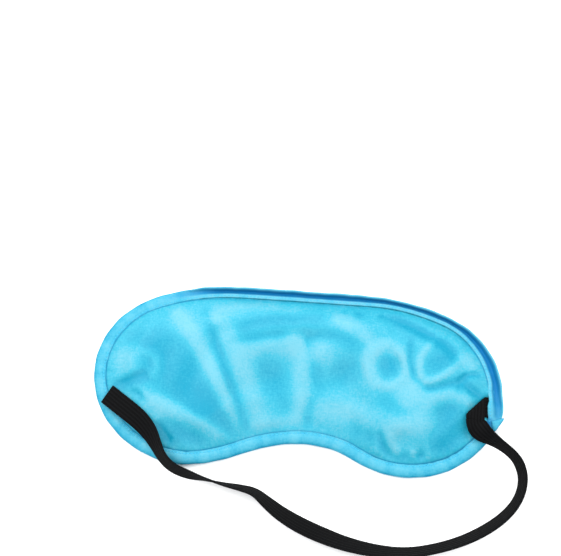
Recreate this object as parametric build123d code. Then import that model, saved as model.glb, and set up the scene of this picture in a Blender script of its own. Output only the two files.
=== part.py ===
from build123d import *
import math
import os

# Padded satin eye mask with a bound edge and an elastic head strap. It lies on its front face,
# so its back face, which touches the eyes, is up.
# Frame: +X across the face, +Y towards the brow edge, +Z up, away from what it lies on. The origin
# is under the middle of the mask's box, with the strap left out. All sizes are in millimetres.

# Outline of the bound edge, right half: tangent arcs run through these points from the middle of
# the brow edge, round the end and the cheek lobe, to the nose notch.
HALF_OUTLINE = [(0, 45), (34.5, 44.5), (73, 36.5), (99.3, 5), (87, -32), (54.5, -45), (24, -38)]

# Layers
SATIN = 0.4
TAPE = 0.8
TAPE_WIDTH = 6.0

# Height of the layers by inset from the bound edge: (inset, height)
BACK_PROFILE = [(TAPE, 2.6), (TAPE_WIDTH, 2.9), (9, 5.0), (14, 7.2), (23, 8.8)]
FRONT_PROFILE = [(14.8, 0.0), (TAPE_WIDTH, 1.1), (TAPE, 1.4)]
TAPE_PROFILE = [(7, 0.3), (0.6, 0.55), (0, 1.1), (0, 2.9), (0.6, 3.45), (7, 3.75)]
OVER_TAPE_PROFILE = [(0.3, 3.8), (7, 4.1), (9, 5.4), (14, 7.6), (23, 9.2)]
CUTTER_LOW = -2.0
CUTTER_HIGH = 7.0
COLUMN_HEIGHT = 20.0

# Seam that holds the tape: one thread lies on each side
THREAD = 0.3
SEAM_INSET = 5.0
BACK_SEAM_BASE = 3.68
FRONT_SEAM_BASE = 0.06

# Overlapped end of the tape at the right end of the mask
FLAP_OUTLINE = [(95.6, -5), (99.6, -5), (100, -13), (95.8, -19), (92.6, -16.5), (95, -11.5)]
FLAP_BASE = 3.78
FLAP_THICKNESS = 0.6

# Elastic strap: a flat band
STRAP_WIDTH = 10.0
STRAP_THICKNESS = 1.0

# Left sewn end: lies over the tape's edge, cut square
LEFT_END_START = (-92.0, -13.8)
LEFT_END_LENGTH = 5.4
LEFT_END_TURN = -36.0

# Right sewn end: comes out from under the tape, pressed thin
RIGHT_END_OUTER = 96.5
RIGHT_END_INNER = 85.0
RIGHT_END_MIDDLE = -7.6
RIGHT_END_THICKNESS = 0.5

# Free strap: route of its centre line, each with the tilt of its width in degrees. 0 lies flat with
# its left side, looking along the route, towards the mask, 90 stands on edge, 180 lies flat again.
STRAP_ROUTE = [
    (-87.0, -17.5, 6.8, 20),
    (-81.0, -21.6, 8.2, 16),
    (-74.8, -26.0, 8.7, 20),
    (-69.6, -31.2, 8.7, 38),
    (-66.0, -37.0, 8.8, 56),
    (-62.9, -42.6, 8.6, 66),
    (-57.8, -47.3, 6.8, 68),
    (-50.0, -49.9, 5.4, 69),
    (-41.5, -51.4, 5.2, 76),
    (-33.0, -53.2, 5.2, 97),
    (-25.0, -54.2, 5.1, 110),
    (-17.5, -55.6, 4.9, 118),
    (-11.4, -60.3, 4.6, 129),
    (-4.6, -65.0, 4.1, 138),
    (5.0, -69.8, 3.6, 145),
    (15.7, -73.7, 3.6, 145),
    (27.0, -77.0, 4.1, 137),
    (40.8, -79.2, 4.5, 130),
    (54.8, -79.4, 4.8, 124),
    (68.2, -76.4, 4.9, 120),
    (80.7, -72.0, 4.9, 120),
    (91.8, -66.0, 4.9, 120),
    (101.4, -58.4, 4.9, 119),
    (107.4, -49.8, 5.0, 115),
    (109.2, -40.7, 5.1, 113),
    (106.9, -33.3, 5.6, 112),
    (102.0, -28.6, 6.6, 116),
    (96.6, -24.9, 7.8, 127),
    (91.6, -21.4, 9.0, 140),
    (87.3, -17.6, 9.7, 152),
    (84.2, -13.4, 10.0, 163),
]
ARC_SHARE = 0.45
STATION_STEP = 4.0


def outline_arcs():
    """Right half of the outline: each arc as (x, y, heading) at its start, middle and end."""
    arcs = []
    x, y = HALF_OUTLINE[0]
    heading = 0.0
    for x_next, y_next in HALF_OUTLINE[1:]:
        run = math.hypot(x_next - x, y_next - y)
        turn = 2 * math.remainder(math.atan2(y_next - y, x_next - x) - heading, math.tau)
        radius = run / (2 * math.sin(turn / 2))
        arcs.append(arc_points(x, y, heading, turn, radius))
        x, y, heading = arcs[-1][2]
    turn = -math.pi - heading
    arcs.append(arc_points(x, y, heading, turn, x / math.sin(heading)))
    return arcs


def arc_points(x, y, heading, turn, radius):
    """Start, middle and end of an arc that leaves (x, y) along heading."""
    points = []
    for share in (0, 0.5, 1):
        angle = heading + share * turn
        dx = radius * (math.sin(angle) - math.sin(heading))
        dy = radius * (math.cos(heading) - math.cos(angle))
        points.append((x + dx, y + dy, angle))
    return points


def outline_face(inset, z):
    """The mask's outline, moved inwards by inset, as a flat face at height z."""
    right = []
    for arc in outline_arcs():
        right.append([(x + inset * math.sin(a), y - inset * math.cos(a), z) for x, y, a in arc])
    left = [[(-x, y, h) for x, y, h in reversed(arc)] for arc in reversed(right)]
    return make_face([ThreePointArc(*arc) for arc in right + left])


def stack(rings):
    """A closed solid through outline rings, each given as (inset, height)."""
    return loft([outline_face(inset, z) for inset, z in rings], ruled=True)


def raised(profile, rise):
    """A profile moved up by rise."""
    return [(inset, z + rise) for inset, z in profile]


def back_panel():
    """Satin that faces the eyes."""
    return stack(raised(BACK_PROFILE, -SATIN)[::-1] + BACK_PROFILE)


def front_panel():
    """Satin that faces outwards, flat where the mask rests on it."""
    return stack(FRONT_PROFILE + raised(FRONT_PROFILE, SATIN)[::-1])


def padding_core():
    """Wadding that fills the room between the two satins."""
    return stack(raised(FRONT_PROFILE, SATIN) + raised(BACK_PROFILE, -SATIN))


def layer_cutter():
    """All that the tape leaves free: the panels' edge, and everything inside the tape's edge."""
    low = [(TAPE_WIDTH, CUTTER_LOW)] + FRONT_PROFILE[1:]
    high = BACK_PROFILE[:2] + [(TAPE_WIDTH, CUTTER_HIGH)]
    return stack(low + high)


def edge_binding():
    """Folded satin tape round the whole rim, with a pocket for the strap's right end."""
    return stack(TAPE_PROFILE) - layer_cutter() - strap_end_right()


def seam_ring(z):
    """A closed loop of thread along the seam, from z up."""
    half = THREAD / 2
    ring = outline_face(SEAM_INSET - half, z) - outline_face(SEAM_INSET + half, z)
    return extrude(ring, THREAD, dir=(0, 0, 1))


def binding_end_flap():
    """The tape's end, overlapped on itself, with a pointed corner at the rim."""
    corners = [(x, y, FLAP_BASE) for x, y in FLAP_OUTLINE]
    return extrude(make_face(Polyline(*corners, close=True)), FLAP_THICKNESS, dir=(0, 0, 1))


def strap_end(profile, thickness, start, length, turn):
    """A strap-wide strip of the layer on a profile, from start, turned from +X by turn degrees."""
    layer = stack(profile[::-1] + raised(profile, thickness))
    column = Box(length, STRAP_WIDTH, COLUMN_HEIGHT, align=(Align.MIN, Align.CENTER, Align.MIN))
    return layer & (Pos(*start) * Rot(0, 0, turn) * column)


def strap_end_left():
    """Sewn end of the strap on the tape, cut square."""
    place = (LEFT_END_START, LEFT_END_LENGTH, LEFT_END_TURN)
    return strap_end(OVER_TAPE_PROFILE, STRAP_THICKNESS, *place)


def strap_end_right():
    """Sewn end of the strap between the back panel and the tape."""
    start = (RIGHT_END_INNER, RIGHT_END_MIDDLE)
    length = RIGHT_END_OUTER - RIGHT_END_INNER
    return strap_end(BACK_PROFILE, RIGHT_END_THICKNESS, start, length, 0)


def route_radii(points):
    """Arc radius at each corner of the route: as large as its two runs allow."""
    radii = []
    for before, here, after in zip(points, points[1:], points[2:]):
        turn = math.radians((here - before).get_angle(after - here))
        shorter = min((here - before).length, (after - here).length)
        radii.append(ARC_SHARE * shorter / math.tan(turn / 2))
    return radii


def strap_section(path, position, tilt):
    """The band's cross-section at a place on the path from 0 to 1, tilted about the path."""
    here = path.position_at(position)
    along = path.tangent_at(position)
    left = Vector(0, 0, 1).cross(along).normalized()
    plane = Plane(origin=here, x_dir=left, z_dir=along)
    return plane * Rot(0, 0, tilt) * Rectangle(STRAP_WIDTH, STRAP_THICKNESS)


def elastic_strap():
    """The strap's free length, a flat band that twists along its route."""
    points = [Vector(x, y, z) for x, y, z, tilt in STRAP_ROUTE]
    radii = route_radii(points)
    path = FilletPolyline(*points, radius=radii)
    runs = [0.0]
    for before, after in zip(points, points[1:]):
        runs.append(runs[-1] + (after - before).length)
    count = round(path.length / STATION_STEP)
    sections = []
    for station in range(count + 1):
        position = station / count
        tilt = tilt_at(position * runs[-1], runs)
        sections.append(strap_section(path, position, tilt))
    strap = loft(sections, ruled=True)
    print("strap bend radii:", [round(radius) for radius in radii])
    print(f"strap centre line {path.length:.1f} mm, volume {strap.volume:.0f} mm3,")
    print(f"section x length {STRAP_WIDTH * STRAP_THICKNESS * path.length:.0f} mm3")
    return strap


def tilt_at(distance, runs):
    """Tilt at a distance along the route, between the tilts of the points on each side."""
    for index, (low, high) in enumerate(zip(runs, runs[1:])):
        if distance <= high or high == runs[-1]:
            share = min(1.0, (distance - low) / (high - low))
            start = STRAP_ROUTE[index][3]
            end = STRAP_ROUTE[index + 1][3]
            return start + share * (end - start)


def build_all():
    """Write every node."""
    nodes = {
        "front_panel": front_panel(),
        "padding_core": padding_core(),
        "back_panel": back_panel(),
        "edge_binding": edge_binding(),
        "binding_end_flap": binding_end_flap(),
        "seam_thread_back": seam_ring(BACK_SEAM_BASE),
        "seam_thread_front": seam_ring(FRONT_SEAM_BASE),
        "strap_end_left": strap_end_left(),
        "strap_end_right": strap_end_right(),
        "elastic_strap": elastic_strap(),
    }
    os.makedirs("parts", exist_ok=True)
    for name, shape in nodes.items():
        export_step(shape, f"parts/{name}.step")


build_all()
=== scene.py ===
import math

import bpy
import numpy as np
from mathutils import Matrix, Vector
from mathutils.geometry import delaunay_2d_cdt
from mathutils.kdtree import KDTree


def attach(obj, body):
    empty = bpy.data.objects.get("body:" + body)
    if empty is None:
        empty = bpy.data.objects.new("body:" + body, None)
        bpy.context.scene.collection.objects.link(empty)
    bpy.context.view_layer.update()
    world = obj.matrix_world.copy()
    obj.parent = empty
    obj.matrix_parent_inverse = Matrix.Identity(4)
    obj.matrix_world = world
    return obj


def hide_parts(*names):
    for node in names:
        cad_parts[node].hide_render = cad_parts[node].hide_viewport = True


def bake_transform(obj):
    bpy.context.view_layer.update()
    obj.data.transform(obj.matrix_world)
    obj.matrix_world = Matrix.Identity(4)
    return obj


# Padded satin eye mask with a bound edge and a black elastic head strap. It lies on its front face,
# with the face that touches the eyes up. All sizes are in metres.

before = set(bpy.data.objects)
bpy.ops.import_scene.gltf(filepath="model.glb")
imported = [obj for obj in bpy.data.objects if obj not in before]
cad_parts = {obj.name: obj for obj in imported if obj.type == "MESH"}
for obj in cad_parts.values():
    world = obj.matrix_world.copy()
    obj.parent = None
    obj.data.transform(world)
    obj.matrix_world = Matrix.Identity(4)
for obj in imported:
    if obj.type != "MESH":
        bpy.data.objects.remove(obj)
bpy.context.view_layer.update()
scene = bpy.context.scene
scene.view_settings.view_transform = "Standard"

MM = 0.001

# Camera: aims at a point on the floor, above the mask's brow edge in the picture
AIM = (-0.0129, 0.0514, 0.0)
CAMERA_DISTANCE = 0.6659
CAMERA_AZIMUTH = -4.05
CAMERA_ELEVATION = 74.0
LENS = 85.8

# Outline of the bound edge, right half, as in the CAD model: tangent arcs through these points
HALF_OUTLINE = [(0, 0.045), (0.0345, 0.0445), (0.073, 0.0365), (0.0993, 0.005),
                (0.087, -0.032), (0.0545, -0.045), (0.024, -0.038)]

# Strap: the CAD model's route as (x, y, z, tilt of its width in degrees). Its tilts and its last
# five points are moved a little from the CAD model's: the soft band comes down onto its roll.
STRAP_ROUTE = [
    (-0.0870, -0.0175, 0.0068, 14),
    (-0.0810, -0.0216, 0.0082, 15),
    (-0.0748, -0.0260, 0.0087, 20),
    (-0.0696, -0.0312, 0.0087, 38),
    (-0.0660, -0.0370, 0.0088, 56),
    (-0.0629, -0.0426, 0.0086, 66),
    (-0.0578, -0.0473, 0.0068, 68),
    (-0.0500, -0.0499, 0.0054, 72),
    (-0.0415, -0.0514, 0.0052, 90),
    (-0.0330, -0.0532, 0.0052, 104),
    (-0.0250, -0.0542, 0.0051, 112),
    (-0.0175, -0.0556, 0.0049, 118),
    (-0.0114, -0.0603, 0.0046, 129),
    (-0.0046, -0.0650, 0.0041, 138),
    (0.0050, -0.0698, 0.0036, 145),
    (0.0157, -0.0737, 0.0036, 145),
    (0.0270, -0.0770, 0.0041, 137),
    (0.0408, -0.0792, 0.0045, 130),
    (0.0548, -0.0794, 0.0048, 124),
    (0.0682, -0.0764, 0.0049, 120),
    (0.0807, -0.0720, 0.0049, 120),
    (0.0918, -0.0660, 0.0049, 120),
    (0.1014, -0.0584, 0.0049, 116),
    (0.1074, -0.0498, 0.0050, 109),
    (0.1092, -0.0407, 0.0051, 105),
    (0.1069, -0.0333, 0.0056, 105),
    (0.1028, -0.0290, 0.0066, 103),
    (0.0974, -0.0256, 0.0074, 106),
    (0.0925, -0.0228, 0.0079, 118),
    (0.0885, -0.0204, 0.0080, 148),
    (0.0861, -0.0178, 0.0079, 180),
]
# The left sewn end: it goes before the free strap
LEFT_END = [
    (-0.0920, -0.0140, 0.0055, 10),
    (-0.0896, -0.0156, 0.0061, 12),
]
# The right sewn end comes out from under the lip, heads left and up the pad, and rolls over a
# slanting line to lie on itself: where it starts, its rise, the line's slant, the flat length before
# the roll's middle, the roll's radius and the step between its sections
ROLL_START = np.array([0.0922, -0.0074, 0.0034])
ROLL_RISE = math.radians(21)
ROLL_SLANT = math.radians(44)
ROLL_FLAT = 0.0061
ROLL_RADIUS = 0.0009
ROLL_STEP = 0.0003
STRAP_WIDTH = 0.010
STRAP_THICKNESS = 0.001
STRAP_RIBS = 6
RIB_HEIGHT = 0.00009
SECTION_POINTS = 49

# Binding's cross-section from the back's inner edge round the rim: (inset, height) in millimetres.
# The plain one lies flat. The curled one stands up at the rim, with a groove between the rim and the
# stitched lip.
PLAIN_SECTION = [
    (6.0, 3.30), (6.08, 3.5), (5.95, 3.72), (5.6, 3.82), (5.0, 3.70), (4.4, 3.84), (3.5, 3.86),
    (2.6, 3.72), (1.7, 3.48), (0.95, 3.18), (0.4, 2.82), (0.08, 2.35), (0.0, 1.85), (0.12, 1.4),
    (0.45, 1.0), (1.05, 0.68), (1.9, 0.45), (2.9, 0.28), (4.0, 0.18), (4.6, 0.20), (5.0, 0.30),
    (5.5, 0.22), (6.0, 0.30), (6.05, 0.6), (6.0, 0.98), (4.4, 1.05), (4.1, 2.0), (4.4, 2.90),
]
CURLED_SECTION = [
    (6.0, 3.30), (6.08, 3.55), (5.95, 3.85), (5.6, 4.02), (5.05, 3.92), (4.5, 4.00), (4.15, 3.70),
    (3.6, 2.85), (2.8, 2.35), (2.0, 2.60), (1.5, 3.50), (1.15, 4.50), (0.8, 5.05), (0.4, 5.30),
    (-0.05, 5.10), (-0.25, 4.40), (-0.2, 3.40), (0.1, 2.35), (0.7, 1.45), (1.6, 0.80), (3.0, 0.38),
    (4.4, 0.24), (6.0, 0.30), (6.05, 0.6), (6.0, 0.98), (4.4, 1.05), (4.1, 1.9), (4.4, 2.90),
]
# Points of the section that carry the back and front stitches, and the first one inside the fold
BACK_SEAM_POINT = 4
FRONT_SEAM_POINT = 20
INSIDE_POINT = 23
# Height that parts the tape's back side from its front side
TOP_HEIGHT = 0.002
# Distance between sections round the rim, and the tape's width before it is folded
BINDING_STEP = 0.00042
TAPE_CUT_WIDTH = 0.018
# Places near the rim where the tape starts and stops standing up, where it is wider, and where the
# strap comes out from under it
CURL_START = (-0.058, 0.040)
CURL_END = (0.0985, -0.0125)
WIDE_START = (0.099, 0.004)
STRAP_EXIT = (0.099, -0.0074)
WIDE_EXTRA = 0.0009
# The lip over the strap: how much wider and higher it is
EXIT_EXTRA = 0.0010
EXIT_RISE = 0.0010
# The tape's unevenness in height, in its outer edge and at each stitch
TOP_WAVE = 0.00016
EDGE_SWAY = 0.00022
STITCH_DENT = 0.00014
# Stretches where less of the tape lies on the panel: start, end, how much less, and length of its ends
NARROW_STRETCHES = [
    ((-0.052, 0.042), (0.086, 0.027), 0.0010, 0.040),
    ((0.034, 0.0445), (0.080, 0.032), 0.0006, 0.030),
]
# Painted shadow on the tape's corner behind the flap: middle and radius
FLAP_PAINTED_SHADOW = (0.0922, -0.0152)
FLAP_PAINTED_SHADOW_RADIUS = 0.0028
# How the soft edge lies off its flat outline: (place on the rim, how far in), in millimetres
RIM_PULL = [
    ((6, 45), 1.0), ((30, 45), 0.8), ((57, 41), 1.3), ((76, 35), 1.6), ((93, 21), 1.7),
    ((98, 10), 2.0), ((100, -2), 1.7), ((99.5, -8), 0.8), ((98.8, -12), 0.0), ((98, -15), 0.6),
    ((96.5, -19), 1.6), ((91, -28), 1.9), ((78, -39), 1.3), ((54, -45), 1.4), ((38, -43), 1.7),
    ((30, -41), 2.5), ((22, -37), 2.8), ((14, -34), 1.9), ((5, -32), 1.2), ((-6, -32), 0.2),
    ((-16, -35), 0.1), ((-26, -39), 0.8), ((-36, -43), 1.0), ((-52, -45), 0.2), ((-72, -41), 0.4),
    ((-88, -31), 0.8), ((-97, -18), 0.9), ((-100, -5), 0.1), ((-97, 12), -0.5), ((-85, 29), -0.3),
    ((-62, 40), -0.2), ((-40, 44), 0.6), ((-15, 45), 0.9),
]
# The list is evened out over this far each way, and fades out between these insets
PULL_SPREAD = 0.003
PULL_DEPTH = (0.010, 0.034)
TAPE_WIDTH = 0.006
SEAM_INSET = 0.005

# Padded panels: insets of the edge and of the rings beside the seam, then the triangle grid's first
# inset, reach and pitch
PANEL_EDGE = 0.0040
RING_INSETS = (PANEL_EDGE, 0.0055, 0.0064, 0.0074, 0.0086)
GRID_INSET = 0.0103
GRID_REACH = (0.101, 0.046)
GRID = 0.0022
# Height of the pad from its seam inwards, and of the front panel's low edge
PAD_START = 0.005
PAD_RAMP = 0.020
PAD_BASE = 0.0027
PAD_RISE = 0.0056
PAD_POWER = 2.0
FRONT_EDGE_HEIGHT = 0.0011
FRONT_RAMP = 0.0148
FRONT_POWER = 1.5
# Wadding: its gap to each satin, and its least thickness
CORE_GAP = 0.0005
CORE_LEAST = 0.0002
# Panel pressed down by the strap: gaps under the band and under its roll, how far from the band's
# middle it reaches, its slope beyond the band, and the most upright band that presses
STRAP_GAP = 0.0007
ROLL_GAP = 0.0002
PRESS_REACH = 0.009
PRESS_SLOPE = 0.55
PRESS_UPRIGHT = 0.75
# Puckers beside the seam: height, inset of the middle and width
BACK_PUCKER = (0.00028, 0.0075, 0.0028)
FRONT_PUCKER = (0.00018, 0.0085, 0.0035)
# Painted shade, a dark line where a panel goes under the tape: width, strength, and how much less for
# each metre that the tape is narrower
PAINTED_CREASE_SHADE_WIDTH = 0.0005
PAINTED_CREASE_SHADE_STRENGTH = 0.7
PAINTED_CREASE_SHADE_LOSS = 400
FRONT_PAINTED_CREASE_SHADE_WIDTH = 0.0006
# Cloth simulation of the back panel: it is held up to an inset, runs for some frames, and no point
# moves further than the cap
CLOTH = {
    "quality": 6,
    "mass": 0.0004,
    "tension_stiffness": 8,
    "compression_stiffness": 8,
    "shear_stiffness": 4,
    "bending_stiffness": 0.06,
    "use_pressure": True,
    "uniform_pressure_force": 4.0,
    "vertex_group_mass": "held",
    "shrink_min": -0.03,
    "shrink_max": -0.03,
}
HELD_INSET = 0.0056
CLOTH_FRAMES = 20
CLOTH_CAP = 0.0025
SMOOTH_ROUNDS = 6

# Folded end of the tape: outline in millimetres. It rises by its tilt between two places along x.
FLAP_OUTLINE = [(93.2, -13.9), (99.0, -12.2), (99.0, -13.2), (95.2, -18.9), (94.0, -18.4)]
FLAP_GRID = 0.0005
FLAP_BASE = 0.0040
FLAP_TILT = 0.0011
FLAP_SLOPE = (0.093, 0.0985)
FLAP_THICKNESS = 0.0006
FLAP_UNDER = 0.0002
FLAP_CREASE = 0.00022
FLAP_CREASE_PITCH = 0.00055

# Satin: colours with painted light and shade: lighter on a ridge (painted highlight), on the flat,
# darker in a hollow and inside a crease (painted shade)
PANEL_PAINTED_LIGHT_COLOURS = [(0.100, 0.328, 0.410), (0.022, 0.282, 0.385), (0.0, 0.205, 0.315), (0.0, 0.095, 0.230)]
TAPE_PAINTED_LIGHT_COLOURS = [(0.090, 0.335, 0.430), (0.040, 0.285, 0.400), (0.004, 0.200, 0.330), (0.0, 0.118, 0.300)]
PANEL_GLOSS = 0.2
TAPE_GLOSS = 0.1
WEAVE = 0.00028
CRINKLE_SCALE = 420.0
# Streaks along both thread directions, uneven dye and grain: noise scale along each axis, and how
# much it changes the tone
STREAKS = [
    ((400.0, 2600.0, 400.0), 0.20),
    ((2600.0, 400.0, 400.0), 0.16),
    ((60.0, 60.0, 60.0), 0.25),
    ((900.0, 900.0, 900.0), 0.30),
]
# Other materials: two colours each
# Elastic: a lighter and a darker colour that alternate with each rib, a painted sheen along the ribs
RUBBER_RIB_SHEEN_COLOURS = [(0.0032, 0.0034, 0.0038), (0.0013, 0.0013, 0.0015)]
THREAD_COLOURS = [(0.012, 0.30, 0.52), (0.03, 0.44, 0.68)]
WADDING_COLOURS = [(0.62, 0.63, 0.62), (0.88, 0.88, 0.86)]
CROSS_THREAD_PITCH = 0.00022

# Stitches of the seam
STITCH_PITCH = 0.00185
STITCH_LENGTH = 0.00125
THREAD_RADIUS = 0.00016
STITCH_RINGS = 7
STITCH_SIDES = 6
STITCH_SKEW = 0.06
STITCH_LIFT = 0.2

# Studio: colours, and the soft lights as (name, place, size, watts)
SKY_COLOUR = (0.96, 0.98, 1.0, 1)
SKY_STRENGTH = 0.6
FLOOR_COLOUR = (0.97, 0.97, 0.97, 1)
FLOOR_DEPTH = 0.0002
LIGHTS = [
    ("light_brow", (-0.20, 1.08, 1.08), (1.6, 0.9), 19),
    ("light_left", (-0.86, 0.35, 1.16), (0.8, 1.3), 14),
    ("light_right", (0.88, 0.35, 1.16), (0.8, 1.3), 13),
    ("light_cheek", (0.0, -0.58, 1.40), (1.4, 0.7), 13),
]


# ---- camera, floor and light

def make_camera():
    azimuth = math.radians(CAMERA_AZIMUTH)
    elevation = math.radians(CAMERA_ELEVATION)
    forward = Vector((math.sin(azimuth) * math.cos(elevation), math.cos(azimuth) * math.cos(elevation),
                      -math.sin(elevation)))
    camera = bpy.data.objects.new("camera", bpy.data.cameras.new("camera"))
    scene.collection.objects.link(camera)
    camera.location = Vector(AIM) - CAMERA_DISTANCE * forward
    camera.rotation_euler = forward.to_track_quat("-Z", "Y").to_euler()
    camera.data.lens = LENS
    camera.data.sensor_width = 36
    camera.data.clip_start = 0.01
    scene.camera = camera


def softbox(name, place, size, power):
    """A soft light that faces the mask."""
    light = bpy.data.objects.new(name, bpy.data.lights.new(name, "AREA"))
    scene.collection.objects.link(light)
    light.location = place
    light.data.shape = "RECTANGLE"
    light.data.size = size[0]
    light.data.size_y = size[1]
    light.data.energy = power
    light.rotation_euler = (-light.location).to_track_quat("-Z", "Y").to_euler()


def make_studio():
    world = bpy.data.worlds.new("studio")
    scene.world = world
    world.use_nodes = True
    background = world.node_tree.nodes["Background"]
    background.inputs["Color"].default_value = SKY_COLOUR
    background.inputs["Strength"].default_value = SKY_STRENGTH
    for light in LIGHTS:
        softbox(*light)
    bpy.ops.mesh.primitive_plane_add(size=6, location=(0, 0, -FLOOR_DEPTH))
    floor = bpy.context.object
    floor.name = "floor"
    paper, _, shader = new_material("floor_paper")
    shader.inputs["Base Color"].default_value = FLOOR_COLOUR
    shader.inputs["Roughness"].default_value = 0.9
    floor.data.materials.append(paper)


# ---- outline

def outline_arcs():
    """Right half of the bound edge, each arc as (x, y, heading, turn, radius)."""
    arcs = []
    x, y = HALF_OUTLINE[0]
    heading = 0.0
    for x_next, y_next in HALF_OUTLINE[1:]:
        run = math.hypot(x_next - x, y_next - y)
        turn = 2 * math.remainder(math.atan2(y_next - y, x_next - x) - heading, math.tau)
        arcs.append((x, y, heading, turn, run / (2 * math.sin(turn / 2))))
        heading += turn
        x, y = x_next, y_next
    arcs.append((x, y, heading, -math.pi - heading, x / math.sin(heading)))
    return arcs


def rim_samples(step):
    """Points round the whole edge, clockwise from the middle of the brow: (x, y, heading) rows."""
    right = []
    for x, y, heading, turn, radius in outline_arcs():
        count = max(2, round(abs(radius * turn) / step))
        for index in range(count):
            angle = heading + turn * index / count
            right.append((x + radius * (math.sin(angle) - math.sin(heading)),
                          y + radius * (math.cos(heading) - math.cos(angle)), angle))
    notch_y = y + radius * (math.cos(heading) - math.cos(heading + turn))
    notch = (0.0, notch_y, -math.pi)
    left = [(-x, y, -angle - math.tau) for x, y, angle in reversed(right[1:])]
    return np.array(right + [notch] + left)


class Rim:
    """The bound edge as a measure: how far in a point lies, and how far round."""

    def __init__(self, step):
        rows = rim_samples(step)
        self.xy = rows[:, :2]
        self.inward = np.column_stack([np.sin(rows[:, 2]), -np.cos(rows[:, 2])])
        runs = np.hypot(*(np.roll(self.xy, -1, axis=0) - self.xy).T)
        self.around = np.concatenate([[0.0], np.cumsum(runs)[:-1]])
        self.length = runs.sum()
        self.tree = KDTree(len(self.xy))
        for index, (x, y) in enumerate(self.xy):
            self.tree.insert((x, y, 0), index)
        self.tree.balance()

    def locate(self, points):
        """Inset and distance round for each (x, y)."""
        nearest = np.array([self.tree.find((x, y, 0))[1] for x, y in points])
        offset = np.asarray(points) - self.xy[nearest]
        along = np.column_stack([-self.inward[:, 1], self.inward[:, 0]])[nearest]
        inset = (offset * self.inward[nearest]).sum(axis=1)
        around = self.around[nearest] + (offset * along).sum(axis=1)
        return inset, around % self.length

    def round_at(self, x, y):
        """Distance round of the rim's point nearest to (x, y)."""
        return self.locate([(x, y)])[1][0]

    def pull(self, around):
        """How far the soft edge lies inside its flat outline at each distance round."""
        marks = sorted((self.round_at(x * MM, y * MM), amount * MM) for (x, y), amount in RIM_PULL)
        places, amounts = zip(*marks)
        total = np.zeros_like(around)
        for shift in np.linspace(-PULL_SPREAD, PULL_SPREAD, 9):
            total += np.interp(around + shift, places, amounts, period=self.length)
        return total / 9

    def narrow(self, around):
        """How much less of the tape lies on the panel along the brow, where it is turned up."""
        total = np.zeros_like(around)
        for start, end, amount, soft in NARROW_STRETCHES:
            total += amount * between(self, around, self.round_at(*start), self.round_at(*end), soft)
        return total

    def settle(self, points):
        """Moves points of the flat mask to where the soft mask lies. The middle stays where it is."""
        inset, around = self.locate(points[:, :2])
        nearest = np.searchsorted(self.around, around, side="right") - 1
        move = self.pull(around) * (1 - smoothstep(*PULL_DEPTH, inset))
        points[:, :2] += move[:, None] * self.inward[nearest]
        return points


def smoothstep(low, high, value):
    share = np.clip((value - low) / (high - low), 0, 1)
    return share * share * (3 - 2 * share)


def between(rim, around, start, end, soft):
    """1 on the stretch of the rim from start to end, clockwise, and 0 outside it, with soft ends."""
    length = (end - start) % rim.length
    middle = start + length / 2
    away = np.abs((around - middle + rim.length / 2) % rim.length - rim.length / 2)
    return 1 - smoothstep(length / 2 - soft / 2, length / 2 + soft / 2, away)


def ripple(rim, around, waves, seed):
    """Smooth uneven wave round the rim, from -1 to 1: waves gives the wavelengths."""
    rng = np.random.default_rng(seed)
    total = np.zeros_like(around)
    for wave in waves:
        turns = round(rim.length / wave)
        total += np.sin(math.tau * turns * around / rim.length + rng.uniform(0, math.tau))
    return total / len(waves)


# ---- meshes

def make_mesh(name, vertices, faces, material):
    mesh = bpy.data.meshes.new(name)
    mesh.from_pydata([tuple(map(float, v)) for v in vertices], [], [tuple(map(int, f)) for f in faces])
    mesh.validate()
    mesh.materials.append(material)
    mesh.shade_smooth()
    piece = bpy.data.objects.new(name, mesh)
    scene.collection.objects.link(piece)
    return piece


def set_painted_shade(piece, values):
    """Painted shade at each vertex, from 0 to 1: how far the satin's colour goes towards its dark crease
    colour.
    """
    attribute = piece.data.attributes.new("painted_shade", "FLOAT", "POINT")
    attribute.data.foreach_set("value", np.asarray(values, np.float32))


def set_painted_light_and_shade(piece, values):
    """Painted light and shade at each vertex, from -1 to 1: towards 1 the satin takes its lighter ridge
    colour, towards -1 its darker hollow colour.
    """
    attribute = piece.data.attributes.new("painted_light_and_shade", "FLOAT", "POINT")
    attribute.data.foreach_set("value", np.asarray(values, np.float32))


def set_uv(piece, uv):
    layer = piece.data.uv_layers.new(name="weave")
    corners = np.zeros(len(piece.data.loops), np.int32)
    piece.data.loops.foreach_get("vertex_index", corners)
    layer.data.foreach_set("uv", np.asarray(uv, np.float32)[corners].ravel())


def ring_faces(rings, points, closed):
    """Quads between rings of points: closed joins the last ring to the first."""
    faces = []
    for ring in range(rings if closed else rings - 1):
        following = (ring + 1) % rings
        for point in range(points):
            beside = (point + 1) % points
            faces.append((ring * points + point, ring * points + beside,
                          following * points + beside, following * points + point))
    return faces


def tube_faces(rings, points):
    """Faces of a closed tube through rings of points, with a face over each end."""
    last = (rings - 1) * points
    return ring_faces(rings, points, closed=False) + [
        tuple(range(points))[::-1],
        tuple(range(last, last + points)),
    ]


def thick_sheet(name, top, bottom, faces, material):
    """A closed mesh between two sheets with the same faces."""
    count = len(top)
    edges = dict.fromkeys(edge for face in faces for edge in zip(face, face[1:] + face[:1]))
    sides = [(end, start, start + count, end + count) for start, end in edges
             if (end, start) not in edges]
    under = [tuple(index + count for index in reversed(face)) for face in faces]
    return make_mesh(name, np.vstack([top, bottom]), faces + sides + under, material)


def positions(mesh):
    values = np.zeros(len(mesh.vertices) * 3)
    mesh.vertices.foreach_get("co", values)
    return values.reshape(-1, 3)


def set_positions(piece, values):
    piece.data.vertices.foreach_set("co", np.asarray(values).ravel())
    piece.data.update()


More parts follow.
